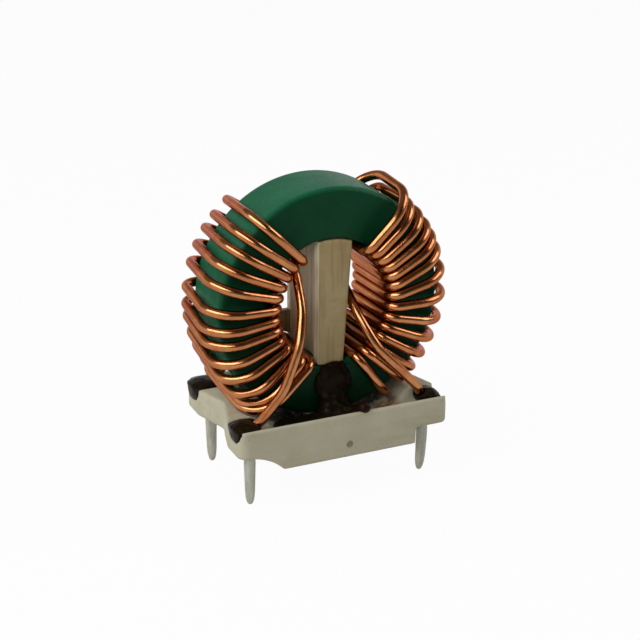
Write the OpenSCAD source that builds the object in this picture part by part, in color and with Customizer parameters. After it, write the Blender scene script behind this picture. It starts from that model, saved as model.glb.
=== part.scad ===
// Two-winding toroidal inductor on a moulded board base.
// X runs along the base, Y is the axis of the ring (the front is -Y), Z is up.
// The origin is on the board, at the middle of the four pins.

/* [Core] */
// Outside diameter of the coated ring
ring_od = 27.8; // [26:0.1:28.6]
// Inside diameter of the coated ring
ring_id = 15.5; // [14.8:0.1:16.5]
// Width of the coated ring, along its axis
ring_w = 8.4; // [7.4:0.1:9]
// Rounding of the coated ring's edges
ring_edge = 0.8; // [0.5:0.05:1.2]
// Thickness of the green coat
coat_t = 0.3; // [0.2:0.05:0.5]
// Rounding of the bare ring's edges
ferrite_edge = 0.4; // [0.2:0.05:0.6]

/* [Winding] */
// Diameter of the copper wire
wire_d = 1.15; // [0.8:0.05:1.15]
// Space between the wire and the coat under it
wire_gap = 0.05; // [0.03:0.01:0.15]
// Turns of the left winding
turns_left = 13; // [8:1:14]
// Turns of the right winding
turns_right = 14; // [9:1:14]

/* [Base] */
// Length of the base, along X
base_len = 26.9; // [26.2:0.1:29]
// Width of the base, along Y
base_wid = 17.9; // [17.6:0.1:20]
// Height of the rails' tops above the board
rail_top = 5.5; // [5:0.1:6.2]
// Height of the lobes' undersides above the board
lobe_under = 2.05; // [1.5:0.05:2.4]
// Rounding of the base's four corners, seen from above
corner_r = 1.2; // [0.6:0.1:1.6]
// How far the middle of each end stands back from the lobes
end_dip = 1.4; // [0.8:0.1:1.8]
// Length of the dip in each end, along Y
dip_len = 9.8; // [7:0.2:11]
// From the middle to the standoff's left end
standoff_left = 8.0; // [6:0.1:9]
// From the middle to the standoff's right end
standoff_right = 9.1; // [6:0.1:9.8]
// Length of the arch at the standoff's left end
arch_run = 4.6; // [3:0.1:5]
// Height of the ring's lowest point above the board
seat_z = 3.75; // [3.3:0.05:4.4]
// Half the width of the saddle under the ring
saddle_half = 2.6; // [1.5:0.1:4]
// Space under the windings, from the ring to the cradle's floor
cradle_room = 1.9; // [1.7:0.05:2.2]

/* [Leads] */
// From the base's ends to the middles of the pins
pin_in_x = 2.2; // [2:0.05:2.6]
// From the base's long sides to the middles of the pins
pin_in_y = 2.7; // [2.3:0.05:2.9]
// Length of the pins below the board
pin_len = 5.05; // [3:0.05:7]
// Thickness of the tin on the wire's ends
tin_t = 0.1; // [0.06:0.01:0.15]
// Radius of the channels that hold the leads
channel_r = 1.85; // [1.5:0.05:1.9]
// Thickness of the base's wall outside each channel, at its thinnest
channel_wall = 0.5; // [0.4:0.05:0.9]
// How far the glue in the outer ends of the channels reaches in past the pins
bead_in = 1.35; // [1.3:0.05:2]

/* [Divider] */
// Width of the divider's front edge at the top
divider_top = 4.2; // [3:0.1:4.4]
// Width of the divider's front edge at the foot
divider_foot = 3.15; // [2.6:0.1:4]
// Thickness of the divider's web
divider_web = 1.8; // [1.2:0.1:2.4]
// Thickness of the divider's front and rear flanges
divider_flange = 0.9; // [0.6:0.1:1.4]

/* [Hidden] */
$fn = 96;

// Small overlap of cutting tools past the faces that they cut
over = 1;
// Clearance between pieces that are laid in or slipped on
slip = 0.05;

// The pins' pitch along X and along Y
pitch_x = base_len - 2 * pin_in_x;
pitch_y = base_wid - 2 * pin_in_y;

// The ring's axis
ring_z = seat_z + ring_od / 2;
bore_r = ring_id / 2;

// Where the wire's centre lies on the ring: outside, in the bore, on a face, and round an edge
lay = wire_d / 2 + wire_gap;
r_out = ring_od / 2 + lay;
r_in = bore_r - lay;
y_face = ring_w / 2 + lay;
edge_bend = ring_edge + lay;

// Lead channels along X in both rails, with their middles just under the rails' tops
channel_drop = 0.1;
channel_y = base_wid / 2 - channel_wall - channel_r;
channel_z = rail_top - channel_drop;
// How far the cradle reaches past the ring's faces
cradle_side = 1.3;
cradle_half = ring_w / 2 + cradle_side;

// Pins: the tinned sleeves, their holes, and where the wire in them ends and bends
fit_gap = 0.02;
hole_gap = 0.15;
tin_rise = 0.9;
tip_gap = 0.05;
// The tin is thicker where it was drawn up to the base
collar_grow = 0.08;
collar_low = -1.15;
collar_high = -0.45;
bend_rise = 2.55;
tin_r = wire_d / 2 + tin_t;
tin_bore = wire_d / 2 + fit_gap;
hole_r = tin_r + hole_gap;
tin_top = lobe_under + tin_rise;
wire_end = tin_r + tip_gap - pin_len;
bend_z = lobe_under + bend_rise;

// ---------------------------------------------------------------- wire
wire_sides = 8;
bend_step = 26;

function unit(v) = v / norm(v);

// A point at radius r and angle a round the ring's axis
function spot(r, a, y) = [r * cos(a), y, ring_z + r * sin(a)];

// The angle by which the path turns at b
function turn_at(a, b, c) = acos(min(1, max(-1, unit(b - a) * unit(c - b))));

// An arc of radius r in place of the corner b, shortened where the corner's legs are short
function fillet(a, b, c, r) =
  let (
    u = unit(b - a), v = unit(c - b), phi = turn_at(a, b, c),
    reach = min(r * tan(phi / 2), 0.49 * norm(b - a), 0.49 * norm(c - b)),
    rr = reach / tan(phi / 2), side = unit(v - (u * v) * u),
    centre = b - reach * u + rr * side, steps = max(2, ceil(phi / bend_step))
  )
  [for (i = [0:steps]) centre + rr * (u * sin(phi * i / steps) - side * cos(phi * i / steps))];

// The path through the corners P, each rounded by its radius in R
function rounded(P, R) = [
  P[0],
  for (i = [1:len(P) - 2]) each fillet(P[i - 1], P[i], P[i + 1], R[i]),
  P[len(P) - 1]
];

// The direction of the path at point i
function heading(Q, i) =
  i == 0 ? unit(Q[1] - Q[0])
  : i == len(Q) - 1 ? unit(Q[i] - Q[i - 1])
  : unit(unit(Q[i] - Q[i - 1]) + unit(Q[i + 1] - Q[i]));

// A side direction for each point, carried along the path without twist
function sides_of(Q) = [
  for (
    i = 0, t = heading(Q, 0), n = unit(cross(t, [0.31, 0.95, 0.05]));
    i < len(Q);
    i = i + 1, t = i < len(Q) ? heading(Q, i) : t, n = unit(n - (n * t) * t)
  ) n
];

// A closed tube of radius r along the path Q
module tube(Q, r) {
  side = sides_of(Q);
  m = wire_sides;
  points = [
    for (i = [0:len(Q) - 1])
      let (t = heading(Q, i), n = side[i], b = cross(t, n))
      for (j = [0:m - 1]) Q[i] + r * (n * cos(360 * j / m) + b * sin(360 * j / m))
  ];
  walls = [
    for (i = [0:len(Q) - 2], j = [0:m - 1])
      let (a = i * m + j, b = i * m + (j + 1) % m)
      each [[a, b, b + m], [a, b + m, a + m]]
  ];
  first = [for (j = [m - 1:-1:0]) j];
  last = [for (j = [0:m - 1]) (len(Q) - 1) * m + j];
  faces = concat([first, last], walls);
  polyhedron(points = points, faces = [for (f = faces) [for (j = [len(f) - 1:-1:0]) f[j]]]);
}

// ---------------------------------------------------------------- windings
// A turn runs from the rear over the outside to the front, and back through the bore.
// How far, in degrees, each hand-laid turn lies off even spacing
uneven_left = [1.5, 1.2, -0.5, -1, -1, 2, 2, 0, 1, 1, 2, 1, 0];
uneven_right = [-5, -3, -1, 1, 4, 6, 5, 2, -1, -2, -2, -1, 1, -1];

// Angles of the first and last turns round the ring's axis, outside and in the bore
left_out = [128.5, 235];
left_in = [123, 244.5];
right_out = [58.5, -60];
right_in = [59, -68];
// A turn's slant through the bore on the left and on the right, in degrees
left_slant = 5;
right_slant = 3;

// Corners of the turns outside the coat: how far they stand off it, and their radii
left_rear_off = [0.4, 0.15];
left_front_off = [1.3, 2.0];
left_bends = [1.5, 4.0];
right_rear_off = [0.15, 0.15];
right_front_off = [0.3, 1.5];
right_bends = [1.6, 2.8];
inner_off = 0.95;
// How far the lowest turns lean from front to rear, in degrees
left_lean = 17;
right_lean = 5;
// The last turn on the left hangs loose: how far, and its angles at the front and the rear
last_loose = 0.5;
last_out = 229.4;
last_rear = 215.4;
// The first turn on the right stands up in a round loop: its angle, its rear and front corners, its bend
loop_angle = 53;
loop_rear_off = [1.4, 0.6];
loop_front_off = [0.8, 2.0];
loop_bend = 4;
// How much further apart than touching the right winding's first turns lie in the bore
bore_gap = 0.04;

function even(ends, k, n) = ends[0] + (ends[1] - ends[0]) * k / (n - 1);

// Turns in the right winding's bore start close together and spread lower down
function spread(ends, k, n) =
  let (step = (wire_d + bore_gap) / r_in * 180 / PI, rest = ends[0] - ends[1] - step * (n - 1))
  ends[0] - step * k - rest * pow(k / (n - 1), 2);

function left_turn(k) =
  let (
    n = turns_left, last = k == n - 1, loose = last ? last_loose : 0,
    out = last ? last_out : even(left_out, k, n) + uneven_left[k % len(uneven_left)],
    rear = last ? last_rear : out - left_lean * pow(k / (n - 1), 3),
    in = even(left_in, k, n)
  )
  [
    spot(r_out + left_rear_off[0] + loose, rear, y_face + left_rear_off[1]),
    spot(r_out + left_front_off[0] + loose, out, -y_face - left_front_off[1] - loose),
    spot(r_in, in, -y_face - inner_off),
    spot(r_in, in + left_slant, y_face)
  ];

function right_turn(k) =
  let (
    n = turns_right, out = even(right_out, k, n) + uneven_right[k % len(uneven_right)],
    in = spread(right_in, k, n), rear = k == 0 ? loop_angle : out + right_lean * k / (n - 1),
    rear_off = k == 0 ? loop_rear_off : right_rear_off,
    front_off = k == 0 ? loop_front_off : right_front_off
  )
  [
    spot(r_out + rear_off[0], rear, y_face + rear_off[1]),
    spot(r_out + front_off[0], out, -y_face - front_off[1]),
    spot(r_in, in, -y_face - inner_off),
    spot(r_in, in - right_slant, y_face)
  ];

// A lead from its pin's tip, up through the base and into the channel; x and y are -1 or 1
function pin_leg(x, y) = [
  [x * pitch_x / 2, y * pitch_y / 2, wire_end],
  [x * pitch_x / 2, y * pitch_y / 2, bend_z]
];

// Hand-laid points of the front leads: outside the bore's wires, angle, wires in front of the face
left_lead = [[4, 228, 2.5], [-0.9, 211, 2.1], [-2.9, 177, 0.5], [-2, 141, -1.3], [-1, 128, -2.7]];
right_lead = [[7.6, -48, 2.2], [3.3, -48, 2.5], [-0.1, -49, 2.2], [-3.4, -31, 0.3], [-4, 3, -2.5]];
function laid(L) = [for (p = L) spot(r_in + p[0], p[1], -y_face - p[2] * wire_d)];

// Points behind the ring where a lead joins its first turn and leaves its last one: wires outside
// the bore's wires, angle, and distance behind the rear wires
left_join = [[-1.1, 116, -0.4], [1.4, 117, 0.2]];
left_leave = [[5.25, 228, 1.9]];
right_join = [[-1.15, 65, -0.4], [1.2, 67, 0.2]];
right_leave = [[1.6, -72, 1.3], [5.25, -47, 2.1]];
function behind(L) = [for (p = L) spot(r_in + p[0] * wire_d, p[1], y_face + p[2])];

// A lead's corner beside its pin: inward along X, outward along Y, and above the rail
front_corner = [1.15, 0.85, 0.3];
rear_corner = [1.15, 0.75, 0.4];
function pin_corner(x, y, d) = [x * (pitch_x / 2 - d[0]), y * (pitch_y / 2 + d[1]), rail_top + d[2]];

// The leads' bends: over the pin, at the pin's corner, along the front, and behind the ring
pin_bend = 0.9;
corner_bend = 1.5;
left_lead_bends = [6, 8, 8, 8, 5];
right_lead_bends = [1.2, 6, 8, 8, 8];
join_bends = [1.2, 2];
leave_bend = 3;

left_path = concat(
  pin_leg(-1, -1),
  [pin_corner(-1, -1, front_corner)],
  laid(left_lead),
  behind(left_join),
  [for (k = [0:turns_left - 1]) each left_turn(k)],
  behind(left_leave),
  [pin_corner(-1, 1, rear_corner), pin_leg(-1, 1)[1], pin_leg(-1, 1)[0]]
);
left_radii = concat(
  [0, pin_bend, corner_bend],
  left_lead_bends,
  join_bends,
  [for (k = [0:turns_left - 1]) each [left_bends[0], left_bends[1], edge_bend, edge_bend]],
  [leave_bend, corner_bend, pin_bend, 0]
);

right_path = concat(
  pin_leg(1, -1),
  laid(right_lead),
  behind(right_join),
  [for (k = [0:turns_right - 1]) each right_turn(k)],
  behind(right_leave),
  [pin_corner(1, 1, rear_corner), pin_leg(1, 1)[1], pin_leg(1, 1)[0]]
);
right_radii = concat(
  [0, pin_bend],
  right_lead_bends,
  join_bends,
  [loop_bend, loop_bend, edge_bend, edge_bend],
  [for (k = [1:turns_right - 1]) each [right_bends[0], right_bends[1], edge_bend, edge_bend]],
  [leave_bend, leave_bend, corner_bend, pin_bend, 0]
);

// The stretch of a path next to one pin, for the hole that it leaves in the glue
function first_of(L, n) = [for (i = [0:n - 1]) L[i]];
function last_of(L, n) = [for (i = [len(L) - n:len(L) - 1]) L[i]];
tunnel_r = tin_bore / cos(180 / wire_sides);

module left_winding() {
  color("#b06a3e") tube(rounded(left_path, left_radii), wire_d / 2);
}

module right_winding() {
  color("#b06a3e") tube(rounded(right_path, right_radii), wire_d / 2);
}

// ---------------------------------------------------------------- core
// A ring round the Y axis at the core's place, with rounded edges
module ring(r_outer, r_inner, width, edge) {
  translate([0, 0, ring_z]) rotate([90, 0, 0])
    rotate_extrude($fn = 128) ring_section(r_outer, r_inner, width, edge);
}

module ring_section(r_outer, r_inner, width, edge) {
  translate([r_inner + edge, -width / 2]) square([r_outer - r_inner - 2 * edge, width]);
  translate([r_inner, edge - width / 2]) square([r_outer - r_inner, width - 2 * edge]);
  for (x = [r_inner + edge, r_outer - edge], y = [edge - width / 2, width / 2 - edge])
    translate([x, y]) circle(edge, $fn = 48);
}

module coated_ring() {
  ring(ring_od / 2, bore_r, ring_w, ring_edge);
}

module bare_ring() {
  ring(ring_od / 2 - coat_t, bore_r + coat_t, ring_w - 2 * coat_t, ferrite_edge);
}

module ferrite_core() {
  color("#3a3a3c") bare_ring();
}

module core_coating() {
  color("#1f5a42") difference() {
    coated_ring();
    bare_ring();
  }
}

// ---------------------------------------------------------------- base
dip_back = base_len / 2 - end_dip;
dip_slope = atan(end_dip / (dip_len / 2));
dip_round = 3;
arch_r = (pow(arch_run, 2) + pow(lobe_under, 2)) / (2 * lobe_under);

// A bar along Y with its section drawn in X and Z
module along_y(half) {
  rotate([90, 0, 0]) translate([0, 0, -half]) linear_extrude(2 * half) children();
}

// A disc round the ring's axis
module disc(r, width, sides) {
  translate([0, 0, ring_z]) rotate([90, 0, 0]) cylinder(r = r, h = width, center = true, $fn = sides);
}

// A bar along X at height z
module along_x(r, y, z, x0, x1) {
  translate([x0, y, z]) rotate([0, 90, 0]) cylinder(r = r, h = x1 - x0);
}

// The base seen from above: round corners and a shallow vee in each end
module base_plan() {
  difference() {
    union() {
      square([base_len - 2 * corner_r, base_wid], center = true);
      square([base_len, base_wid - 2 * corner_r], center = true);
      for (x = [-1, 1], y = [-1, 1])
        translate([x * (base_len / 2 - corner_r), y * (base_wid / 2 - corner_r)]) circle(corner_r);
    }
    end_dip_cut();
    mirror([1, 0]) end_dip_cut();
  }
}

module end_dip_cut() {
  centre_x = dip_back + dip_round / cos(dip_slope);
  touch_x = centre_x - dip_round * cos(dip_slope);
  touch_y = dip_round * sin(dip_slope);
  far_x = base_len / 2 + over;
  far_y = dip_len / 2 + over / tan(dip_slope);
  polygon([[touch_x, -touch_y], [far_x, -far_y], [far_x, far_y], [touch_x, touch_y]]);
  translate([centre_x, 0]) circle(dip_round + slip);
}

// The base seen from the front: a standoff with an arch on the left and a step on the right
module base_front() {
  difference() {
    translate([-base_len / 2 - over, 0]) square([base_len + 2 * over, rail_top]);
    difference() {
      translate([-base_len / 2 - 2 * over, -over])
        square([base_len / 2 + 3 * over - standoff_left, lobe_under + over]);
      difference() {
        translate([-standoff_left - arch_run, -over]) square([arch_run + 2 * over, lobe_under + 2 * over]);
        translate([-standoff_left - arch_run, lobe_under - arch_r]) circle(arch_r);
      }
    }
    translate([standoff_right, -over]) square([base_len, lobe_under + over]);
  }
}

module lead_holes() {
  for (x = [-1, 1], y = [-1, 1])
    translate([x * pitch_x / 2, y * pitch_y / 2, -over]) cylinder(r = hole_r, h = rail_top + 2 * over);
}

module base() {
  cradle_r = ring_od / 2 + cradle_room;
  color("#b9b48f") difference() {
    intersection() {
      linear_extrude(rail_top) base_plan();
      along_y(base_wid) base_front();
    }
    difference() {
      disc(cradle_r, 2 * cradle_half, 160);
      translate([-saddle_half, -cradle_half - over, 0])
        cube([2 * saddle_half, 2 * cradle_half + 2 * over, rail_top]);
    }
    disc(ring_od / 2 + slip, 2 * cradle_half, 160);
    for (y = [-1, 1]) along_x(channel_r, y * channel_y, channel_z, -base_len, base_len);
    lead_holes();
  }
}

// ---------------------------------------------------------------- divider
// The middle of its front edge and of its web, its front and rear faces, and its rear edge's ends
divider_x = 0.62;
web_x = 0.2;
divider_front = -3.95;
divider_rear = 4.3;
divider_rear_left = -1.95;
divider_rear_right = 1.5;
// The wider part of the rear flange, low in the bore
shoulder_top = 14.5;
shoulder_half = 4.2;
shoulder_r = 6.4;

// The divider seen from above: two flanges and a web with hollow sides
module divider_plan() {
  half = divider_top / 2;
  difference() {
    polygon([
      [divider_x - half, divider_front], [divider_x + half, divider_front],
      [divider_rear_right, divider_rear], [divider_rear_left, divider_rear]
    ]);
    for (s = [-1, 1]) hollow_side(s, half);
  }
}

// The hollow in one side: a wide arc between the two flanges
module hollow_side(s, half) {
  y0 = divider_front + divider_flange;
  y1 = divider_rear - divider_flange;
  deep = half - divider_web / 2;
  r = (pow((y1 - y0) / 2, 2) + pow(deep, 2)) / (2 * deep);
  translate([web_x + s * (divider_web / 2 + r), (y0 + y1) / 2]) circle(r);
}

// The divider seen from the front: upright on the left, widening to its foot on the right
module divider_elevation() {
  left = divider_x - divider_top / 2;
  polygon([
    [left - over, ring_z + bore_r], [left - over, ring_z - bore_r],
    [left + divider_foot, ring_z - bore_r], [left + divider_top, ring_z + bore_r]
  ]);
}

module divider() {
  color("#a79d78") intersection() {
    disc(bore_r - slip, ring_w, 128);
    union() {
      intersection() {
        linear_extrude(ring_z + ring_od / 2) divider_plan();
        along_y(ring_w) divider_elevation();
      }
      intersection() {
        translate([-shoulder_half, divider_rear - divider_flange, 0])
          cube([2 * shoulder_half, divider_flange, shoulder_top]);
        disc(shoulder_r, 2 * ring_w, 128);
      }
    }
  }
}

// ---------------------------------------------------------------- glue
// The beads' crown above the rail, their dome's radius, and their bulging outer end: radius, and
// how far it stands out of the base's end
bead_crown = 0.45;
bead_dome = 4.5;
bead_round = 5;
bead_proud = 0.35;

// Glue in the outer end of the left channels: domed, with a round inner end
module bead_body(y) {
  round_x = bead_in - pitch_x / 2 - channel_r;
  intersection() {
    union() {
      translate([round_x, y * channel_y, channel_z]) sphere(channel_r, $fn = 64);
      along_x(channel_r, y * channel_y, channel_z, -base_len / 2 - over, round_x);
    }
    translate([round_x, y * channel_y, rail_top + bead_crown - bead_dome]) sphere(bead_dome, $fn = 96);
    translate([bead_round - bead_proud - base_len / 2, y * channel_y, channel_z])
      sphere(bead_round, $fn = 96);
  }
}

// The glue round one lead; x and y are -1 or 1
module bead(x, y) {
  difference() {
    if (x < 0) bead_body(y);
    else mirror([1, 0, 0]) bead_body(y);
    tunnel(x, y);
  }
}

module tunnel(x, y) {
  path = x < 0 ? left_path : right_path;
  radii = x < 0 ? left_radii : right_radii;
  corners = y < 0 ? first_of(path, 4) : last_of(path, 4);
  bends = y < 0 ? first_of(radii, 4) : last_of(radii, 4);
  tube(rounded(corners, bends), tunnel_r);
}

module bead_front_left() {
  color("#15130f") bead(-1, -1);
}

module bead_front_right() {
  color("#15130f") bead(1, -1);
}

module bead_rear_left() {
  color("#15130f") bead(-1, 1);
}

module bead_rear_right() {
  color("#15130f") bead(1, 1);
}

// Glue on the ring's front face, over the divider's foot
blob_x = 0.2;
blob_z = 7.8;
blob_half = 2.35;
blob_proud = 0.9;
// Its run down the ring into the channel
run_x = -0.6;
run_out = 0.9;
run_down = 0.35;
run_r = 1.35;
// Glue in the front channel
trough_left = -8.5;
trough_right = 3.4;
trough_down = 1.0;
// A drop that ran over the front wall
drip_x = 2.35;
drip_r = 0.8;
drip_proud = 0.2;
drip_up = 0.2;
drip_slope = 37;
drip_tail = 2.1;

module core_glue() {
  blob_r = (pow(blob_half, 2) + pow(blob_proud, 2)) / (2 * blob_proud);
  color("#15130f") difference() {
    union() {
      translate([blob_x, blob_r - blob_proud - ring_w / 2, blob_z]) sphere(blob_r, $fn = 64);
      translate([run_x, -ring_w / 2 - run_out, rail_top - run_down]) rotate([90, 0, 0])
        sphere(run_r, $fn = 48);
      trough();
      drip();
    }
    translate([-base_len, divider_front, 0]) cube([2 * base_len, ring_w * 2, 3 * ring_od]);
    coated_ring();
    base();
  }
}

// The glue in the channel, with round ends and a level top
module trough() {
  x0 = trough_left + channel_r;
  x1 = trough_right - channel_r;
  difference() {
    union() {
      for (x = [x0, x1]) translate([x, -channel_y, channel_z]) sphere(channel_r, $fn = 64);
      along_x(channel_r, -channel_y, channel_z, x0, x1);
    }
    translate([trough_left - over, -base_wid / 2 - over, rail_top - trough_down])
      cube([trough_right - trough_left + 2 * over, base_wid / 2, 3 * channel_r]);
  }
}

// The drop, and its tail down the wall into the trough
module drip() {
  translate([drip_x, drip_r - drip_proud - base_wid / 2, rail_top + drip_up]) {
    sphere(drip_r, $fn = 48);
    rotate([-90 - drip_slope, 0, 0]) cylinder(r = drip_r, h = drip_tail, $fn = 48);
  }
}

// ---------------------------------------------------------------- tinned ends
module tinned_end(x, y) {
  straight = lobe_under + collar_low + pin_len - tin_r;
  color("#a9a894") translate([x * pitch_x / 2, y * pitch_y / 2, 0]) difference() {
    union() {
      translate([0, 0, tin_r - pin_len]) sphere(tin_r, $fn = 48);
      translate([0, 0, tin_r - pin_len]) cylinder(r = tin_r, h = straight, $fn = 48);
      translate([0, 0, lobe_under + collar_low])
        cylinder(r1 = tin_r, r2 = tin_r + collar_grow, h = collar_high - collar_low, $fn = 48);
      translate([0, 0, lobe_under + collar_high])
        cylinder(r1 = tin_r + collar_grow, r2 = tin_r, h = tin_rise - collar_high, $fn = 48);
    }
    translate([0, 0, wire_end - fit_gap]) cylinder(r = tin_bore, h = tin_top - wire_end + over, $fn = 48);
  }
}

module tinned_front_left() {
  tinned_end(-1, -1);
}

module tinned_front_right() {
  tinned_end(1, -1);
}

module tinned_rear_left() {
  tinned_end(-1, 1);
}

module tinned_rear_right() {
  tinned_end(1, 1);
}

base();
ferrite_core();
core_coating();
left_winding();
right_winding();
divider();
core_glue();
bead_front_left();
bead_front_right();
bead_rear_left();
bead_rear_right();
tinned_front_left();
tinned_front_right();
tinned_rear_left();
tinned_rear_right();
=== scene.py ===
"""Toroidal inductor: smooth copper wire, glue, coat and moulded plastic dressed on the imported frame."""

import math

import bpy
from mathutils import Matrix, Vector


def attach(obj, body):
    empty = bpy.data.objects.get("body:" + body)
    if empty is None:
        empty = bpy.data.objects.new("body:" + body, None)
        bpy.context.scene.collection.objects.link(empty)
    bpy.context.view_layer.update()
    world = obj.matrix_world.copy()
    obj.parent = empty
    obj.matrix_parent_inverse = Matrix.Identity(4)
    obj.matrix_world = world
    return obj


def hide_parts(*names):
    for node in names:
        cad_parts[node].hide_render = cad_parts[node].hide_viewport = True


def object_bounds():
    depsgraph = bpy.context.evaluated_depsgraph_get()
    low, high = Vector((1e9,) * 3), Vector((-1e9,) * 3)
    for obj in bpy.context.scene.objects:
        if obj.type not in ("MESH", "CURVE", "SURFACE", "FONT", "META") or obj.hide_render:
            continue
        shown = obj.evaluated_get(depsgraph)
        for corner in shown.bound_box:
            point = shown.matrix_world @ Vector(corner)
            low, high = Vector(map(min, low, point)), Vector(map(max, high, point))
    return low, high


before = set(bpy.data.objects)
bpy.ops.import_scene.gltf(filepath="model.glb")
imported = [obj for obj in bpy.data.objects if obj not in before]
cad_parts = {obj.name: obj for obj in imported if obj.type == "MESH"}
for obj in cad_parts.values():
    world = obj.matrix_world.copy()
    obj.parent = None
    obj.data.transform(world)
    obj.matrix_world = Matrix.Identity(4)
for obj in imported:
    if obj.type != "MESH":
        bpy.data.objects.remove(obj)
cad_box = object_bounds()

# Lengths below are in millimetres unless they say otherwise, and angles in degrees
MM = 0.001
WHITE = (1, 1, 1, 1)


def new_object(name, data):
    thing = bpy.data.objects.new(name, data)
    bpy.context.scene.collection.objects.link(thing)
    return thing


def direction(azimuth, elevation):
    """The way from the part to something round it: azimuth from the front, -Y, towards the left, -X."""
    azimuth = math.radians(azimuth)
    elevation = math.radians(elevation)
    return Vector((
        -math.sin(azimuth) * math.cos(elevation),
        -math.cos(azimuth) * math.cos(elevation),
        math.sin(elevation),
    ))


# ------------------------------------------------------------------ camera
# The photograph's viewing angle, and the camera's distance and aim
CAMERA_AZIMUTH = 24.66
CAMERA_ELEVATION = 21.55
CAMERA_ROLL = 0.32
CAMERA_DISTANCE = 190.3
CAMERA_AIM = Vector((0.485, 0, 14.007))
SENSOR = 36
LENS = 90
# The nearest and furthest that the camera sees, in metres
CLIP_START = 0.01
CLIP_END = 10


def make_camera():
    azimuth = math.radians(CAMERA_AZIMUTH)
    roll = math.radians(CAMERA_ROLL)
    back = direction(CAMERA_AZIMUTH, CAMERA_ELEVATION)
    level = Vector((math.cos(azimuth), -math.sin(azimuth), 0))
    rise = back.cross(level)
    right = level * math.cos(roll) + rise * math.sin(roll)
    up = rise * math.cos(roll) - level * math.sin(roll)
    data = bpy.data.cameras.new("camera")
    data.sensor_width = SENSOR
    data.lens = LENS
    data.clip_start = CLIP_START
    data.clip_end = CLIP_END
    camera = new_object("camera", data)
    turn = Matrix((right, up, back)).transposed().to_4x4()
    camera.matrix_world = Matrix.Translation((CAMERA_AIM + CAMERA_DISTANCE * back) * MM) @ turn
    bpy.context.scene.camera = camera


make_camera()
bpy.context.scene.view_settings.view_transform = "Standard"


# ------------------------------------------------------------------ materials
# How much the finer layers of a noise count
NOISE_ROUGHNESS = 0.55
# The middle stretch of a noise's range, over which one of two colours turns into the other
DRIFT = (0.35, 0.65)
# The wider stretch, over which a surface's roughness swings from its lowest to its highest
SWING = (0.3, 0.7)


def srgb(red, green, blue):
    """A colour written as 0 to 255, in the linear values that shaders use."""
    def linear(value):
        value /= 255
        return value / 12.92 if value <= 0.04045 else ((value + 0.055) / 1.055) ** 2.4
    return (linear(red), linear(green), linear(blue), 1)


class Graph:
    """A node tree that is built node by node."""

    def __init__(self, owner):
        owner.use_nodes = True
        self.nodes = owner.node_tree.nodes
        self.links = owner.node_tree.links

    def feed(self, node, socket, source):
        """Links a socket to another node's output, or sets the socket's own value."""
        if isinstance(source, bpy.types.NodeSocket):
            self.links.new(source, node.inputs[socket])
        else:
            node.inputs[socket].default_value = source

    def add(self, kind, wires=(), **settings):
        node = self.nodes.new(kind)
        for key, value in settings.items():
            setattr(node, key, value)
        for socket, source in wires:
            self.feed(node, socket, source)
        return node

    def math(self, operation, *sources):
        return self.add("ShaderNodeMath", enumerate(sources), operation=operation).outputs["Value"]

    def spread(self, source, low, high, out_low=0.0, out_high=1.0, curve="LINEAR"):
        """Maps the range from low to high onto another one, and no further."""
        wires = [
            ("Value", source), ("From Min", low), ("From Max", high),
            ("To Min", out_low), ("To Max", out_high),
        ]
        return self.add("ShaderNodeMapRange", wires, interpolation_type=curve).outputs["Result"]


class Finish(Graph):
    """A material whose nodes are added one by one round a Principled shader."""

    def __init__(self, name, **settings):
        self.material = bpy.data.materials.new(name)
        super().__init__(self.material)
        self.shader = self.nodes["Principled BSDF"]
        for socket, value in settings.items():
            self.shader.inputs[socket.replace("_", " ")].default_value = value
        self.coordinates = self.add("ShaderNodeTexCoord").outputs
        self.place = self.coordinates["Object"]
        self.normal = None

    def facing(self, axis):
        """How far the surface faces along an axis, from -1 to 1."""
        return self.add("ShaderNodeSeparateXYZ", [(0, self.coordinates["Normal"])]).outputs[axis]

    def stretched(self, place, scale):
        return self.add("ShaderNodeMapping", [("Vector", place), ("Scale", scale)]).outputs["Vector"]

    def noise(self, size_mm, detail, place=None):
        """Noise whose features are about size_mm across."""
        wires = [
            ("Vector", place or self.place), ("Scale", 1 / (size_mm * MM)),
            ("Detail", detail), ("Roughness", NOISE_ROUGHNESS),
        ]
        return self.add("ShaderNodeTexNoise", wires).outputs["Fac"]

    def blend(self, factor, first, second):
        """Mixes two colours, which a Mix node takes at its sockets 6 and 7 and gives out at 2."""
        wires = [(0, factor), (6, first), (7, second)]
        return self.add("ShaderNodeMix", wires, data_type="RGBA").outputs[2]

    def drifting(self, noise, first, second):
        """Two colours that turn into each other with a noise."""
        return self.blend(self.spread(noise, *DRIFT), first, second)

    def flecked(self, colour, noise, start, full, share, tint):
        """A tint over a colour where a noise is high: none up to the start, and its share from full on."""
        return self.blend(self.spread(noise, start, full, 0, share), colour, tint)

    def near(self, middle, reach, even=0.6):
        """1 round a point, evenly over that share of its reach, and falling to 0 at the reach."""
        middle = tuple(v * MM for v in middle)
        away = self.add("ShaderNodeVectorMath", [(0, self.place), (1, middle)], operation="DISTANCE")
        return self.spread(away.outputs["Value"], even * reach * MM, reach * MM, 1, 0)

    def bump(self, height, depth_mm, strength=1.0):
        wires = [("Height", height), ("Distance", depth_mm * MM), ("Strength", strength)]
        if self.normal:
            wires.append(("Normal", self.normal))
        self.normal = self.add("ShaderNodeBump", wires).outputs["Normal"]

    def finish(self, colour, roughness=None):
        for socket, source in (("Base Color", colour), ("Roughness", roughness), ("Normal", self.normal)):
            if source is not None:
                self.feed(self.shader, socket, source)
        return self.material


# How the marks of drawing lie on a wire, whose UVs count millimetres along it and turns round it
DRAWN = (0.06 * MM, 9 * MM, 1)


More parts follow.
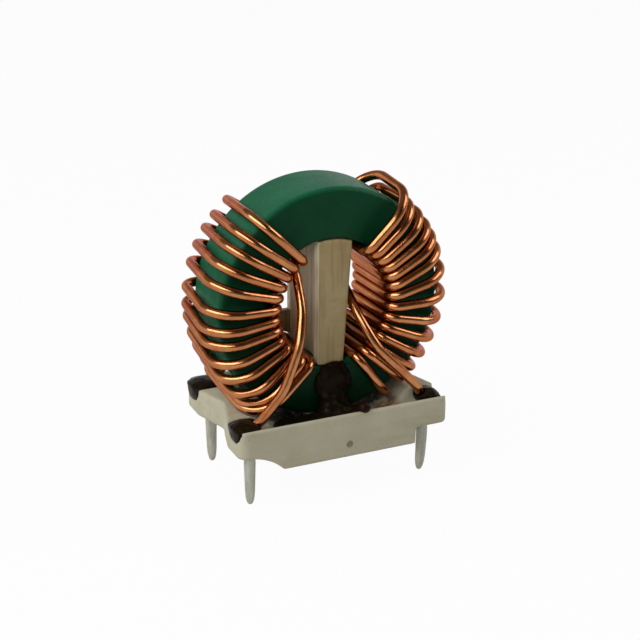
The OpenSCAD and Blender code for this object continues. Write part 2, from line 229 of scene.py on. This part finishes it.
def copper_finish():
    """Enamelled copper: drawn along its length, a little uneven where it was bent by hand."""
    f = Finish(
        "enamelled_copper", Metallic=1, Specular_Tint=srgb(200, 128, 78),
        Coat_Weight=0.5, Coat_Roughness=0.1)
    lines = f.noise(1, detail=3, place=f.stretched(f.coordinates["UV"], DRAWN))
    patches = f.noise(2.6, detail=3)
    mottle = f.noise(0.5, detail=5)
    colour = f.drifting(patches, srgb(176, 104, 55), srgb(197, 131, 80))
    colour = f.flecked(colour, mottle, start=0.55, full=0.75, share=0.45, tint=srgb(138, 66, 22))
    colour = f.flecked(colour, lines, start=0.55, full=0.7, share=0.25, tint=srgb(212, 146, 84))
    f.bump(lines, depth_mm=0.012, strength=0.5)
    f.bump(f.noise(1.4, detail=3), depth_mm=0.05, strength=0.5)
    return f.finish(colour, f.spread(mottle, *SWING, 0.15, 0.26))


# Painted shade that darkens the coat at the foot of the ring's front: its middle, its reach, the
# share of the reach that is evenly dark, and the depth of the tint
FOOT_SHADE = (1.0, -5.0, 4.5)
FOOT_SHADE_R = 9
FOOT_SHADE_EVEN = 1 / 3
FOOT_SHADE_SHARE = 0.6


def green_finish():
    """Sprayed epoxy coat: satin, with orange peel and slight clouds, and painted shade that darkens the
    ring's two faces against its lighter outer band.
    """
    f = Finish("green_coat", Specular_IOR_Level=0.1)
    clouds = f.noise(4, detail=4)
    grain = f.noise(0.35, detail=4)
    specks = f.noise(0.12, detail=2)
    # Painted light and shade: the outer band gets a lighter green and the two faces a darker one, by which
    # way the surface faces
    band = f.drifting(clouds, srgb(22, 88, 58), srgb(28, 98, 68))
    face = f.drifting(clouds, srgb(4, 56, 30), srgb(8, 64, 38))
    colour = f.blend(f.spread(f.math("ABSOLUTE", f.facing("Y")), 0.3, 0.9), band, face)
    colour = f.flecked(colour, specks, start=0.62, full=0.78, share=0.25, tint=srgb(40, 112, 82))
    colour = f.flecked(colour, grain, start=0.6, full=0.8, share=0.3, tint=srgb(6, 40, 24))
    # Painted shade: the coat darkens at the foot of the ring's front, where little light reaches
    foot_shade = f.math("MULTIPLY", f.near(FOOT_SHADE, FOOT_SHADE_R, FOOT_SHADE_EVEN), FOOT_SHADE_SHARE)
    colour = f.blend(foot_shade, colour, srgb(4, 26, 15))
    f.bump(grain, depth_mm=0.02, strength=0.5)
    f.bump(clouds, depth_mm=0.08, strength=0.35)
    return f.finish(colour, f.spread(grain, *SWING, 0.34, 0.5))


def plastic_finish(name, light, dark, stain, rounding_mm):
    """Moulded plastic: matt, faintly flowed, stained and specked, with rounded edges."""
    f = Finish(name, Specular_IOR_Level=0.4)
    f.normal = f.add("ShaderNodeBevel", [("Radius", rounding_mm * MM)], samples=6).outputs["Normal"]
    clouds = f.noise(3, detail=5)
    flow = f.noise(1.6, detail=4, place=f.stretched(f.place, (0.25, 1, 1)))
    grain = f.noise(0.12, detail=3)
    specks = f.noise(0.45, detail=2)
    colour = f.drifting(clouds, light, dark)
    colour = f.flecked(colour, flow, start=0.55, full=0.75, share=0.45, tint=stain)
    colour = f.flecked(colour, specks, start=0.66, full=0.74, share=0.35, tint=srgb(112, 100, 74))
    f.bump(grain, depth_mm=0.01, strength=0.5)
    f.bump(clouds, depth_mm=0.05, strength=0.3)
    return f, colour, f.spread(grain, *SWING, 0.42, 0.58)


# The gate mark on the base's front: its middle and radius, the share of it that is evenly dark, the
# depth of its tint and of its dimple
GATE = (0.34, -8.95, 1.65)
GATE_R = 0.48
GATE_EVEN = 0.7
GATE_SHARE = 0.8
GATE_DEPTH = 0.1
# Painted shade and stains that darken the base: middles, reaches and colours
SHADE_AND_STAINS = [
    # painted shade under the ring
    ((-2.9, 0.3, 2.4), 3.6, (30, 25, 16)),  # under the ring
    # painted shade under the right winding
    ((6.2, -1.0, 3.1), 2.8, (48, 42, 28)),  # under the right winding
    # partly a stain, partly painted shade and painted copper reflection
    ((6.6, -5.0, 3.8), 2.4, (112, 84, 56)),  # by the front right leads
    # darker in the rear channel
    ((-6.9, 6.8, 3.9), 2.0, (46, 36, 22)),  # in the rear channel
]


def base_finish():
    """The base's plastic, with its gate mark, stains, and painted shade under the ring and the right
    winding.
    """
    f, colour, rough = plastic_finish(
        "cream_plastic", light=srgb(182, 177, 153), dark=srgb(173, 167, 142), stain=srgb(158, 147, 117),
        rounding_mm=0.45)
    gate = f.near(GATE, GATE_R, GATE_EVEN)
    ragged = f.spread(f.noise(0.9, detail=3), 0.25, 0.5)
    # Painted shade and stains, each ragged round its middle
    for middle, reach, tint in SHADE_AND_STAINS:
        colour = f.blend(f.math("MULTIPLY", f.near(middle, reach), ragged), colour, srgb(*tint))
    colour = f.blend(f.math("MULTIPLY", gate, GATE_SHARE), colour, srgb(106, 100, 80))
    f.bump(f.math("MULTIPLY", gate, -1.0), depth_mm=GATE_DEPTH)
    return f.finish(colour, rough)


def divider_finish():
    """The divider's plastic, with painted light that makes its left side paler, and long stains down it."""
    f, colour, rough = plastic_finish(
        "tan_plastic", light=srgb(171, 154, 110), dark=srgb(161, 142, 98), stain=srgb(136, 112, 70),
        rounding_mm=0.3)
    # Painted light: surfaces facing left, which the lamps barely reach, are made paler
    colour = f.blend(f.spread(f.facing("X"), -0.2, -0.7), colour, srgb(248, 240, 204))
    streaks = f.noise(0.8, detail=4, place=f.stretched(f.place, (1, 1, 0.06)))
    colour = f.flecked(colour, streaks, start=0.5, full=0.66, share=0.5, tint=srgb(132, 96, 56))
    return f.finish(colour, rough)


# The drop of glue over the front wall, a little redder: its middle and reach
DRIP = (2.35, -8.9, 5.6)
DRIP_R = 1.4


def glue_finish():
    """Black epoxy: satin, with a wavy skin and a few dusty patches."""
    f = Finish("black_epoxy", Specular_IOR_Level=0.1, Specular_Tint=srgb(236, 216, 180))
    waves = f.noise(1.2, detail=3)
    dust = f.noise(0.4, detail=5)
    colour = f.blend(f.spread(dust, 0.55, 0.75), srgb(22, 16, 8), srgb(40, 30, 18))
    colour = f.blend(f.near(DRIP, DRIP_R), colour, srgb(32, 15, 9))
    f.bump(waves, depth_mm=0.08, strength=0.4)
    f.bump(dust, depth_mm=0.006, strength=0.2)
    return f.finish(colour, f.spread(dust, 0.35, 0.7, 0.3, 0.5))


def tin_finish():
    """Dipped tin: dull, with runs down the pin and darker specks of flux."""
    f = Finish("dull_tin", Metallic=0.5)
    runs = f.noise(0.8, detail=4, place=f.stretched(f.place, (1, 1, 0.3)))
    specks = f.noise(0.25, detail=4)
    colour = f.drifting(runs, srgb(192, 192, 178), srgb(162, 160, 145))
    colour = f.flecked(colour, specks, start=0.6, full=0.75, share=0.6, tint=srgb(124, 116, 94))
    f.bump(runs, depth_mm=0.06, strength=0.6)
    f.bump(specks, depth_mm=0.015, strength=0.5)
    return f.finish(colour, f.spread(specks, *SWING, 0.34, 0.55))


def ferrite_finish():
    """Fired ferrite: dark and grainy, and out of sight inside its coat."""
    f = Finish("ferrite", Specular_IOR_Level=0.5)
    grain = f.noise(0.3, detail=5)
    colour = f.blend(grain, srgb(40, 40, 42), srgb(70, 70, 74))
    f.bump(grain, depth_mm=0.01, strength=0.5)
    return f.finish(colour, f.spread(grain, *SWING, 0.4, 0.6))


# ------------------------------------------------------------------ wires
# The same route as the frame's windings, with wider bends in the turns and a rounder section
RING_OD = 27.8
RING_ID = 15.5
RING_W = 8.4
RING_EDGE = 0.8
SEAT_Z = 3.75
WIRE_D = 1.15
WIRE_GAP = 0.05
PITCH_X = 22.5
PITCH_Y = 12.5
PIN_LEN = 5.05
RAIL_TOP = 5.5
LOBE_UNDER = 2.05
BEND_RISE = 2.55

# Where the wire's middle lies on the ring: outside, in the bore, on a face, and round an edge
RING_Z = SEAT_Z + RING_OD / 2
LAY = WIRE_D / 2 + WIRE_GAP
R_OUT = RING_OD / 2 + LAY
R_IN = RING_ID / 2 - LAY
Y_FACE = RING_W / 2 + LAY
EDGE_BEND = RING_EDGE + LAY
# Where the wires end inside the pins and where they bend above them. They end higher than the frame's,
# because the pins lean below the board.
WIRE_END = -1.2
BEND_Z = LOBE_UNDER + BEND_RISE

# A turn runs from the rear over the outside to the front, and back through the bore.
TURNS_LEFT = 13
TURNS_RIGHT = 14
# How far each hand-laid turn lies off even spacing
UNEVEN_LEFT = [1.5, 1.2, -0.5, -1, -1, 2, 2, 0, 1, 1, 2, 1, 0]
UNEVEN_RIGHT = [-5, -3, -1, 1, 4, 6, 5, 2, -1, -2, -2, -1, 1, -1]
# Angles of the first and last turns round the ring's axis, outside and in the bore
LEFT_OUT = (128.5, 235)
LEFT_IN = (123, 244.5)
RIGHT_OUT = (58.5, -60)
RIGHT_IN = (59, -68)
# A turn's slant through the bore
LEFT_SLANT = 5
RIGHT_SLANT = 3
# Corners of the turns outside the coat: how far they stand off it, and their bends
LEFT_REAR_OFF = (0.4, 0.15)
LEFT_FRONT_OFF = (1.3, 2.0)
LEFT_BENDS = (1.7, 5.5)
RIGHT_REAR_OFF = (0.15, 0.15)
RIGHT_FRONT_OFF = (0.3, 1.5)
RIGHT_BENDS = (1.7, 3.9)
INNER_OFF = 0.95
# How far the lowest turns lean from front to rear
LEFT_LEAN = 17
RIGHT_LEAN = 5
# The last turn on the left hangs loose: how far, and its angles at the front and the rear
LAST_LOOSE = 0.5
LAST_OUT = 229.4
LAST_REAR = 215.4
# The first turn on the right stands up in a round loop: its angle, its rear and front corners, its bend
LOOP_ANGLE = 53
LOOP_REAR_OFF = (1.4, 0.6)
LOOP_FRONT_OFF = (0.8, 2.0)
LOOP_BEND = 6.5
# How much further apart than touching the right winding's first turns lie in the bore
BORE_GAP = 0.04

# Points of the front leads: outside the bore's wires, angle, wires in front of the face
LEFT_LEAD = [(4, 228, 2.5), (-0.9, 211, 2.1), (-2.9, 177, 0.5), (-2, 141, -1.3), (-1, 128, -2.7)]
RIGHT_LEAD = [(7.6, -48, 2.2), (3.3, -48, 2.5), (-0.1, -49, 2.2), (-3.4, -31, 0.3), (-4, 3, -2.5)]
# Points behind the ring where a lead joins its first turn and leaves its last one: wires outside the
# bore's wires, angle, and distance behind the rear wires
LEFT_JOIN = [(-1.1, 116, -0.4), (1.4, 117, 0.2)]
LEFT_LEAVE = [(5.25, 228, 1.9)]
RIGHT_JOIN = [(-1.15, 65, -0.4), (1.2, 67, 0.2)]
RIGHT_LEAVE = [(1.6, -72, 1.3), (5.25, -47, 2.1)]
# A lead's corner beside its pin: inward along X, outward along Y, and above the rail
FRONT_CORNER = (1.15, 0.85, 0.3)
REAR_CORNER = (1.15, 0.75, 0.4)

# The leads' bends: over the pin, at the pin's corner, along the front, and behind the ring
PIN_BEND = 0.9
CORNER_BEND = 1.5
LEFT_LEAD_BENDS = [6, 8, 8, 8, 5]
RIGHT_LEAD_BENDS = [1.2, 6, 8, 8, 8]
JOIN_BENDS = [1.2, 2]
LEAVE_BEND = 3

# The wires' sides, and how far their surface stays inside the solids'
WIRE_SIDES = 20
WIRE_TRIM = 0.01
# The most that an arc turns from one point to the next, and the most that it takes of a corner's leg
BEND_STEP = 9
LEG_SHARE = 0.49
# A direction that neither wire starts along, from which its points are counted round it
TUBE_SIDE = Vector((0.31, 0.95, 0.05))


def spot(radius, angle, y):
    """A point at that radius and angle round the ring's axis."""
    turn = math.radians(angle)
    return Vector((radius * math.cos(turn), y, RING_Z + radius * math.sin(turn)))


def even(ends, k, n):
    """The value of turn k of n, at even steps from the first end to the last."""
    return ends[0] + (ends[1] - ends[0]) * k / (n - 1)


def spread_in_bore(ends, k, n):
    """Turns in the right winding's bore start close together and spread lower down."""
    step = math.degrees((WIRE_D + BORE_GAP) / R_IN)
    rest = ends[0] - ends[1] - step * (n - 1)
    return ends[0] - step * k - rest * (k / (n - 1)) ** 2


def left_turn(k):
    """A left turn's corners: rear and front outside the ring, front and rear in the bore."""
    n = TURNS_LEFT
    last = k == n - 1
    loose = LAST_LOOSE if last else 0
    out = LAST_OUT if last else even(LEFT_OUT, k, n) + UNEVEN_LEFT[k]
    rear = LAST_REAR if last else out - LEFT_LEAN * (k / (n - 1)) ** 3
    inner = even(LEFT_IN, k, n)
    return [
        spot(R_OUT + LEFT_REAR_OFF[0] + loose, rear, Y_FACE + LEFT_REAR_OFF[1]),
        spot(R_OUT + LEFT_FRONT_OFF[0] + loose, out, -Y_FACE - LEFT_FRONT_OFF[1] - loose),
        spot(R_IN, inner, -Y_FACE - INNER_OFF),
        spot(R_IN, inner + LEFT_SLANT, Y_FACE),
    ]


def right_turn(k):
    """A right turn's corners, in the same order."""
    n = TURNS_RIGHT
    loop = k == 0
    out = even(RIGHT_OUT, k, n) + UNEVEN_RIGHT[k]
    inner = spread_in_bore(RIGHT_IN, k, n)
    rear = LOOP_ANGLE if loop else out + RIGHT_LEAN * k / (n - 1)
    rear_off = LOOP_REAR_OFF if loop else RIGHT_REAR_OFF
    front_off = LOOP_FRONT_OFF if loop else RIGHT_FRONT_OFF
    return [
        spot(R_OUT + rear_off[0], rear, Y_FACE + rear_off[1]),
        spot(R_OUT + front_off[0], out, -Y_FACE - front_off[1]),
        spot(R_IN, inner, -Y_FACE - INNER_OFF),
        spot(R_IN, inner - RIGHT_SLANT, Y_FACE),
    ]


def pin_leg(x, y):
    """A lead from inside its pin up to its bend in the base. x and y are -1 or 1."""
    return [Vector((x * PITCH_X / 2, y * PITCH_Y / 2, z)) for z in (WIRE_END, BEND_Z)]


def pin_corner(x, y, offset):
    """A lead's corner beside its pin, over the rail."""
    return Vector((x * (PITCH_X / 2 - offset[0]), y * (PITCH_Y / 2 + offset[1]), RAIL_TOP + offset[2]))


def laid(points):
    """A front lead's points, in front of the ring."""
    return [spot(R_IN + p[0], p[1], -Y_FACE - p[2] * WIRE_D) for p in points]


def behind(points):
    """A lead's points behind the ring."""
    return [spot(R_IN + p[0] * WIRE_D, p[1], Y_FACE + p[2]) for p in points]


def left_route():
    """The left winding's corners from pin to pin, and the bend at each."""
    turns = [corner for k in range(TURNS_LEFT) for corner in left_turn(k)]
    corners = pin_leg(-1, -1) + [pin_corner(-1, -1, FRONT_CORNER)] + laid(LEFT_LEAD) + behind(LEFT_JOIN)
    corners += turns + behind(LEFT_LEAVE) + [pin_corner(-1, 1, REAR_CORNER)] + pin_leg(-1, 1)[::-1]
    radii = [0, PIN_BEND, CORNER_BEND] + LEFT_LEAD_BENDS + JOIN_BENDS
    radii += [*LEFT_BENDS, EDGE_BEND, EDGE_BEND] * TURNS_LEFT
    radii += [LEAVE_BEND, CORNER_BEND, PIN_BEND, 0]
    return corners, radii


def right_route():
    """The right winding's corners from pin to pin, and the bend at each."""
    turns = [corner for k in range(TURNS_RIGHT) for corner in right_turn(k)]
    corners = pin_leg(1, -1) + laid(RIGHT_LEAD) + behind(RIGHT_JOIN) + turns + behind(RIGHT_LEAVE)
    corners += [pin_corner(1, 1, REAR_CORNER)] + pin_leg(1, 1)[::-1]
    radii = [0, PIN_BEND] + RIGHT_LEAD_BENDS + JOIN_BENDS
    radii += [LOOP_BEND, LOOP_BEND, EDGE_BEND, EDGE_BEND]
    radii += [*RIGHT_BENDS, EDGE_BEND, EDGE_BEND] * (TURNS_RIGHT - 1)
    radii += [LEAVE_BEND, LEAVE_BEND, CORNER_BEND, PIN_BEND, 0]
    return corners, radii


def fillet(a, b, c, radius):
    """An arc in place of the corner b, shortened where the corner's legs are short."""
    u = (b - a).normalized()
    v = (c - b).normalized()
    phi = math.acos(max(-1, min(1, u.dot(v))))
    reach = min(radius * math.tan(phi / 2), LEG_SHARE * (b - a).length, LEG_SHARE * (c - b).length)
    radius = reach / math.tan(phi / 2)
    side = (v - u.dot(v) * u).normalized()
    centre = b - reach * u + radius * side
    steps = max(2, math.ceil(math.degrees(phi) / BEND_STEP))
    angles = [phi * i / steps for i in range(steps + 1)]
    return [centre + radius * (u * math.sin(t) - side * math.cos(t)) for t in angles]


def rounded(corners, radii):
    """The path through the corners, each rounded by its radius."""
    path = [corners[0]]
    for i in range(1, len(corners) - 1):
        path += fillet(corners[i - 1], corners[i], corners[i + 1], radii[i])
    return path + [corners[-1]]


def ring_points(middle, across, over, sides):
    """Points round a middle, in metres. across and over are its radii as vectors at right angles."""
    turns = [2 * math.pi * j / sides for j in range(sides)]
    return [(middle + across * math.cos(t) + over * math.sin(t)) * MM for t in turns]


def ring_faces(rings, sides):
    """The walls and the two ends of a tube whose points lie in rings, one after another."""
    walls = [
        (i * sides + j, i * sides + (j + 1) % sides, (i + 1) * sides + (j + 1) % sides, (i + 1) * sides + j)
        for i in range(rings - 1) for j in range(sides)
    ]
    first = tuple(reversed(range(sides)))
    last = tuple((rings - 1) * sides + j for j in range(sides))
    return walls + [first, last]


def smooth_object(name, verts, faces):
    mesh = bpy.data.meshes.new(name)
    mesh.from_pydata(verts, [], faces)
    mesh.polygons.foreach_set("use_smooth", [True] * len(mesh.polygons))
    return new_object(name, mesh)


def tube(name, path, radius, sides):
    """A closed round tube along a path, with UVs in millimetres along it and in turns round it."""
    last = len(path) - 1
    heads = []
    for i in range(last + 1):
        before = (path[i] - path[i - 1]).normalized() if i > 0 else None
        after = (path[i + 1] - path[i]).normalized() if i < last else None
        heads.append(((before or after) + (after or before)).normalized())
    side = heads[0].cross(TUBE_SIDE).normalized()
    verts = []
    length = [0.0]
    for i, point in enumerate(path):
        side = (side - side.dot(heads[i]) * heads[i]).normalized()
        verts += ring_points(point, radius * side, radius * heads[i].cross(side), sides)
        if i:
            length.append(length[-1] + (point - path[i - 1]).length)
    piece = smooth_object(name, verts, ring_faces(len(path), sides))
    layer = piece.data.uv_layers.new(name="UVMap")
    for face in piece.data.polygons[:-2]:
        i, j = divmod(face.index, sides)
        for loop, (di, dj) in zip(face.loop_indices, ((0, 0), (0, 1), (1, 1), (1, 0))):
            layer.data[loop].uv = (length[i + di], (j + dj) / sides)
    return piece


def make_wires(copper):
    for name, node, route in (
        ("left_wire", "left_winding", left_route()),
        ("right_wire", "right_winding", right_route()),
    ):
        wire = tube(name, rounded(*route), WIRE_D / 2 - WIRE_TRIM, WIRE_SIDES)
        wire.data.materials.append(copper)
        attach(wire, "root")
        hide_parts(node)


# ------------------------------------------------------------------ pins
# Heights over the board and radii of a dipped pin, from its rounded tip to inside the base
PIN_PROFILE = [
    (-5.04, 0.08), (-4.97, 0.2), (-4.8, 0.34), (-4.5, 0.45), (-4.0, 0.54), (-3.2, 0.6), (-2.2, 0.63),
    (-0.8, 0.67), (0.2, 0.7), (0.9, 0.68), (2.9, 0.6),
]
PIN_SIDES = 24
# How far the pins' tips lie off upright, along X and Y
PIN_LEAN = {
    "front_left": (0.0, 0.0),
    "front_right": (-0.22, 0.05),
    "rear_left": (0.05, 0.0),
    "rear_right": (0.0, 0.0),
}


def make_pins(tin):
    """Tapered pins, upright down to the board and leaning more and more below it."""
    for name, lean in PIN_LEAN.items():
        x = PITCH_X / 2 * (1 if name.endswith("right") else -1)
        y = PITCH_Y / 2 * (1 if name.startswith("rear") else -1)
        verts = []
        for z, radius in PIN_PROFILE:
            share = (min(z, 0) / PIN_LEN) ** 2
            middle = Vector((x + lean[0] * share, y + lean[1] * share, z))
            verts += ring_points(middle, Vector((radius, 0, 0)), Vector((0, radius, 0)), PIN_SIDES)
        pin = smooth_object("pin_" + name, verts, ring_faces(len(PIN_PROFILE), PIN_SIDES))
        pin.data.materials.append(tin)
        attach(pin, "root")
        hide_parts("tinned_" + name)


# ------------------------------------------------------------------ carried-over nodes
BEADS = ["bead_front_left", "bead_front_right", "bead_rear_left", "bead_rear_right"]
# How far a bead that sits low in its channel draws in
BEAD_SHRINK = {"bead_front_left": 0.15, "bead_front_right": 0.1}
# The front right bead stops short of the base's end: the share left of its length past this X
SHORT_FROM = 11.9
SHORT_LEFT = 0.5
# Points of a node that lie closer than this become one
WELD = 0.002
# The share of a poured skin's waves that lies inside the node
WAVES_INSIDE = 0.3


def dress(names, material):
    """Gives nodes that stay in the scene their material."""
    for name in names:
        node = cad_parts[name]
        node.data.materials.clear()
        node.data.materials.append(material)


def soften(name, voxel_mm, passes):
    """Rounds a node's edges on an even mesh."""
    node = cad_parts[name]
    weld = node.modifiers.new("weld", "WELD")
    weld.merge_threshold = WELD * MM
    remesh = node.modifiers.new("remesh", "REMESH")
    remesh.mode = "VOXEL"
    remesh.voxel_size = voxel_mm * MM
    remesh.use_smooth_shade = True
    smooth = node.modifiers.new("smooth", "SMOOTH")
    smooth.factor = 0.5
    smooth.iterations = passes
    return node


def grow(node, depth_mm):
    """Moves a node's whole surface outward."""
    shift = node.modifiers.new("shift", "DISPLACE")
    shift.strength = depth_mm * MM
    shift.mid_level = 0


def fill_hollows(name, voxel_mm, depth_mm):
    """Fills a glue node's creases: grown, joined on a new mesh, and shrunk again."""
    node = soften(name, voxel_mm, 1)
    grow(node, depth_mm)
    soften(name, voxel_mm, 3)
    grow(node, -depth_mm)


def pour(name, voxel_mm, waves_mm, waves_size_mm, shrink_mm=0.0):
    """Gives a glue node round edges and a poured, uneven skin."""
    node = soften(name, voxel_mm, 4)
    if shrink_mm:
        grow(node, -shrink_mm)
    clouds = bpy.data.textures.new(name + "_waves", "CLOUDS")
    clouds.noise_scale = waves_size_mm * MM
    waves = node.modifiers.new("waves", "DISPLACE")
    waves.texture = clouds
    waves.texture_coords = "GLOBAL"
    waves.strength = waves_mm * MM
    waves.mid_level = WAVES_INSIDE


def shorten(name):
    """Puts a copy in a bead's place whose outer end stops short of the base's end."""
    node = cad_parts[name]
    evaluated = node.evaluated_get(bpy.context.evaluated_depsgraph_get())
    mesh = bpy.data.meshes.new_from_object(evaluated)
    mesh.transform(node.matrix_world)
    for vertex in mesh.vertices:
        past = vertex.co.x - SHORT_FROM * MM
        if past > 0:
            vertex.co.x -= past * (1 - SHORT_LEFT)
    piece = new_object("short_" + name, mesh)
    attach(piece, "root")
    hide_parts(name)


dress(["base"], base_finish())
dress(["divider"], divider_finish())
dress(["ferrite_core"], ferrite_finish())
dress(["core_coating"], green_finish())
dress(BEADS + ["core_glue"], glue_finish())
make_pins(tin_finish())
soften("base", voxel_mm=0.15, passes=9)
for bead in BEADS:
    pour(bead, voxel_mm=0.1, waves_mm=0.2, waves_size_mm=1.2, shrink_mm=BEAD_SHRINK.get(bead, 0))
shorten("bead_front_right")
fill_hollows("core_glue", voxel_mm=0.14, depth_mm=1.2)
pour("core_glue", voxel_mm=0.12, waves_mm=0.2, waves_size_mm=1.4)
make_wires(copper_finish())


# ------------------------------------------------------------------ stage and light
# Half the floor's side and the floor's height, in metres
FLOOR_HALF = 1.5
FLOOR_Z = cad_box[0][2] - 0.02 * MM
# The floor's share of plain white where it is seen, and where it is mirrored
FLOOR_SEEN = 0.96
FLOOR_MIRRORED = 0.5

# The world's level on matt surfaces
WORLD_LEVEL = 0.47
# The room's dim front: its direction, how nearly a ray runs that way where the dimming starts and where it
# is full, and the share of light left there
FRONT = (0.25, -0.94, 0.22)
FRONT_FROM = 0.0
FRONT_FULL = 0.8
FRONT_DIM = 0.16
# The dim ceiling that polished surfaces mirror, in the same terms
CEILING = (0, 0, 1)
CEILING_FROM = 0.15
CEILING_FULL = 0.6
CEILING_DIM = 0.18


def make_floor():
    """A plain white sheet that keeps the object's soft shadow."""
    h = FLOOR_HALF
    corners = [(-h, -h, FLOOR_Z), (h, -h, FLOOR_Z), (h, h, FLOOR_Z), (-h, h, FLOOR_Z)]
    floor = smooth_object("floor", corners, [(0, 1, 2, 3)])
    f = Finish("white_sheet", Roughness=0.9, Specular_IOR_Level=0.1)
    colour = f.blend(f.noise(2, detail=4), srgb(212, 212, 210), srgb(218, 218, 216))
    floor.data.materials.append(f.finish(colour))
    glow = f.add("ShaderNodeEmission", [("Color", WHITE), ("Strength", 1.0)])
    path = f.add("ShaderNodeLightPath").outputs
    seen = f.math("MAXIMUM", path["Is Camera Ray"], path["Is Transmission Ray"])
    mirrored = f.math("MULTIPLY", path["Is Glossy Ray"], FLOOR_MIRRORED)
    white = f.math("MAXIMUM", f.math("MULTIPLY", seen, FLOOR_SEEN), mirrored)
    mix = f.add("ShaderNodeMixShader", [("Fac", white), (1, f.shader.outputs[0]), (2, glow.outputs[0])])
    f.feed(f.nodes["Material Output"], "Surface", mix.outputs[0])


def make_world():
    """White where it is seen, a soft light otherwise, and dimmer from in front of the object."""
    world = bpy.data.worlds.new("studio")
    bpy.context.scene.world = world
    sky = Graph(world)
    sky.nodes.clear()
    ray = sky.add("ShaderNodeTexCoord").outputs["Generated"]
    path = sky.add("ShaderNodeLightPath").outputs

    def dimmed(towards, start, full, level):
        """1 away from a direction, and the level towards it."""
        along = sky.add("ShaderNodeVectorMath", [(0, ray), (1, towards)], operation="DOT_PRODUCT")
        return sky.spread(along.outputs["Value"], start, full, 1.0, level, "SMOOTHSTEP")

    front = dimmed(FRONT, FRONT_FROM, FRONT_FULL, FRONT_DIM)
    ceiling = dimmed(CEILING, CEILING_FROM, CEILING_FULL, CEILING_DIM)
    glossy = path["Is Glossy Ray"]
    mirrored = sky.math("MULTIPLY", sky.math("MULTIPLY", front, ceiling), glossy)
    soft = sky.math("MULTIPLY", front, WORLD_LEVEL)
    matt = sky.math("MULTIPLY", soft, sky.math("SUBTRACT", 1.0, glossy))
    seen = sky.math("MAXIMUM", path["Is Camera Ray"], path["Is Transmission Ray"])
    strength = sky.math("MAXIMUM", sky.math("MAXIMUM", seen, mirrored), matt)
    light = sky.add("ShaderNodeBackground", [("Color", WHITE), ("Strength", strength)])
    sky.add("ShaderNodeOutputWorld", [("Surface", light.outputs[0])])


def make_lamp(name, azimuth, elevation, distance_mm, wide_mm, high_mm, level):
    """A soft box that faces the ring. level is about how bright it makes a white surface that faces it."""
    data = bpy.data.lights.new(name, "AREA")
    data.shape = "RECTANGLE"
    data.size = wide_mm * MM
    data.size_y = high_mm * MM
    data.energy = level * (math.pi * distance_mm * MM) ** 2
    way = direction(azimuth, elevation)
    turn = way.to_track_quat("Z", "Y").to_matrix().to_4x4()
    aim = Vector((0, 0, RING_Z))
    lamp = new_object(name, data)
    lamp.matrix_world = Matrix.Translation((aim + distance_mm * way) * MM) @ turn


make_floor()
make_world()
make_lamp("key", azimuth=78, elevation=39, distance_mm=260, wide_mm=240, high_mm=120, level=0.67)
make_lamp("side", azimuth=-72, elevation=38, distance_mm=260, wide_mm=170, high_mm=150, level=0.36)
make_lamp("fill", azimuth=40, elevation=32, distance_mm=280, wide_mm=100, high_mm=100, level=0.13)
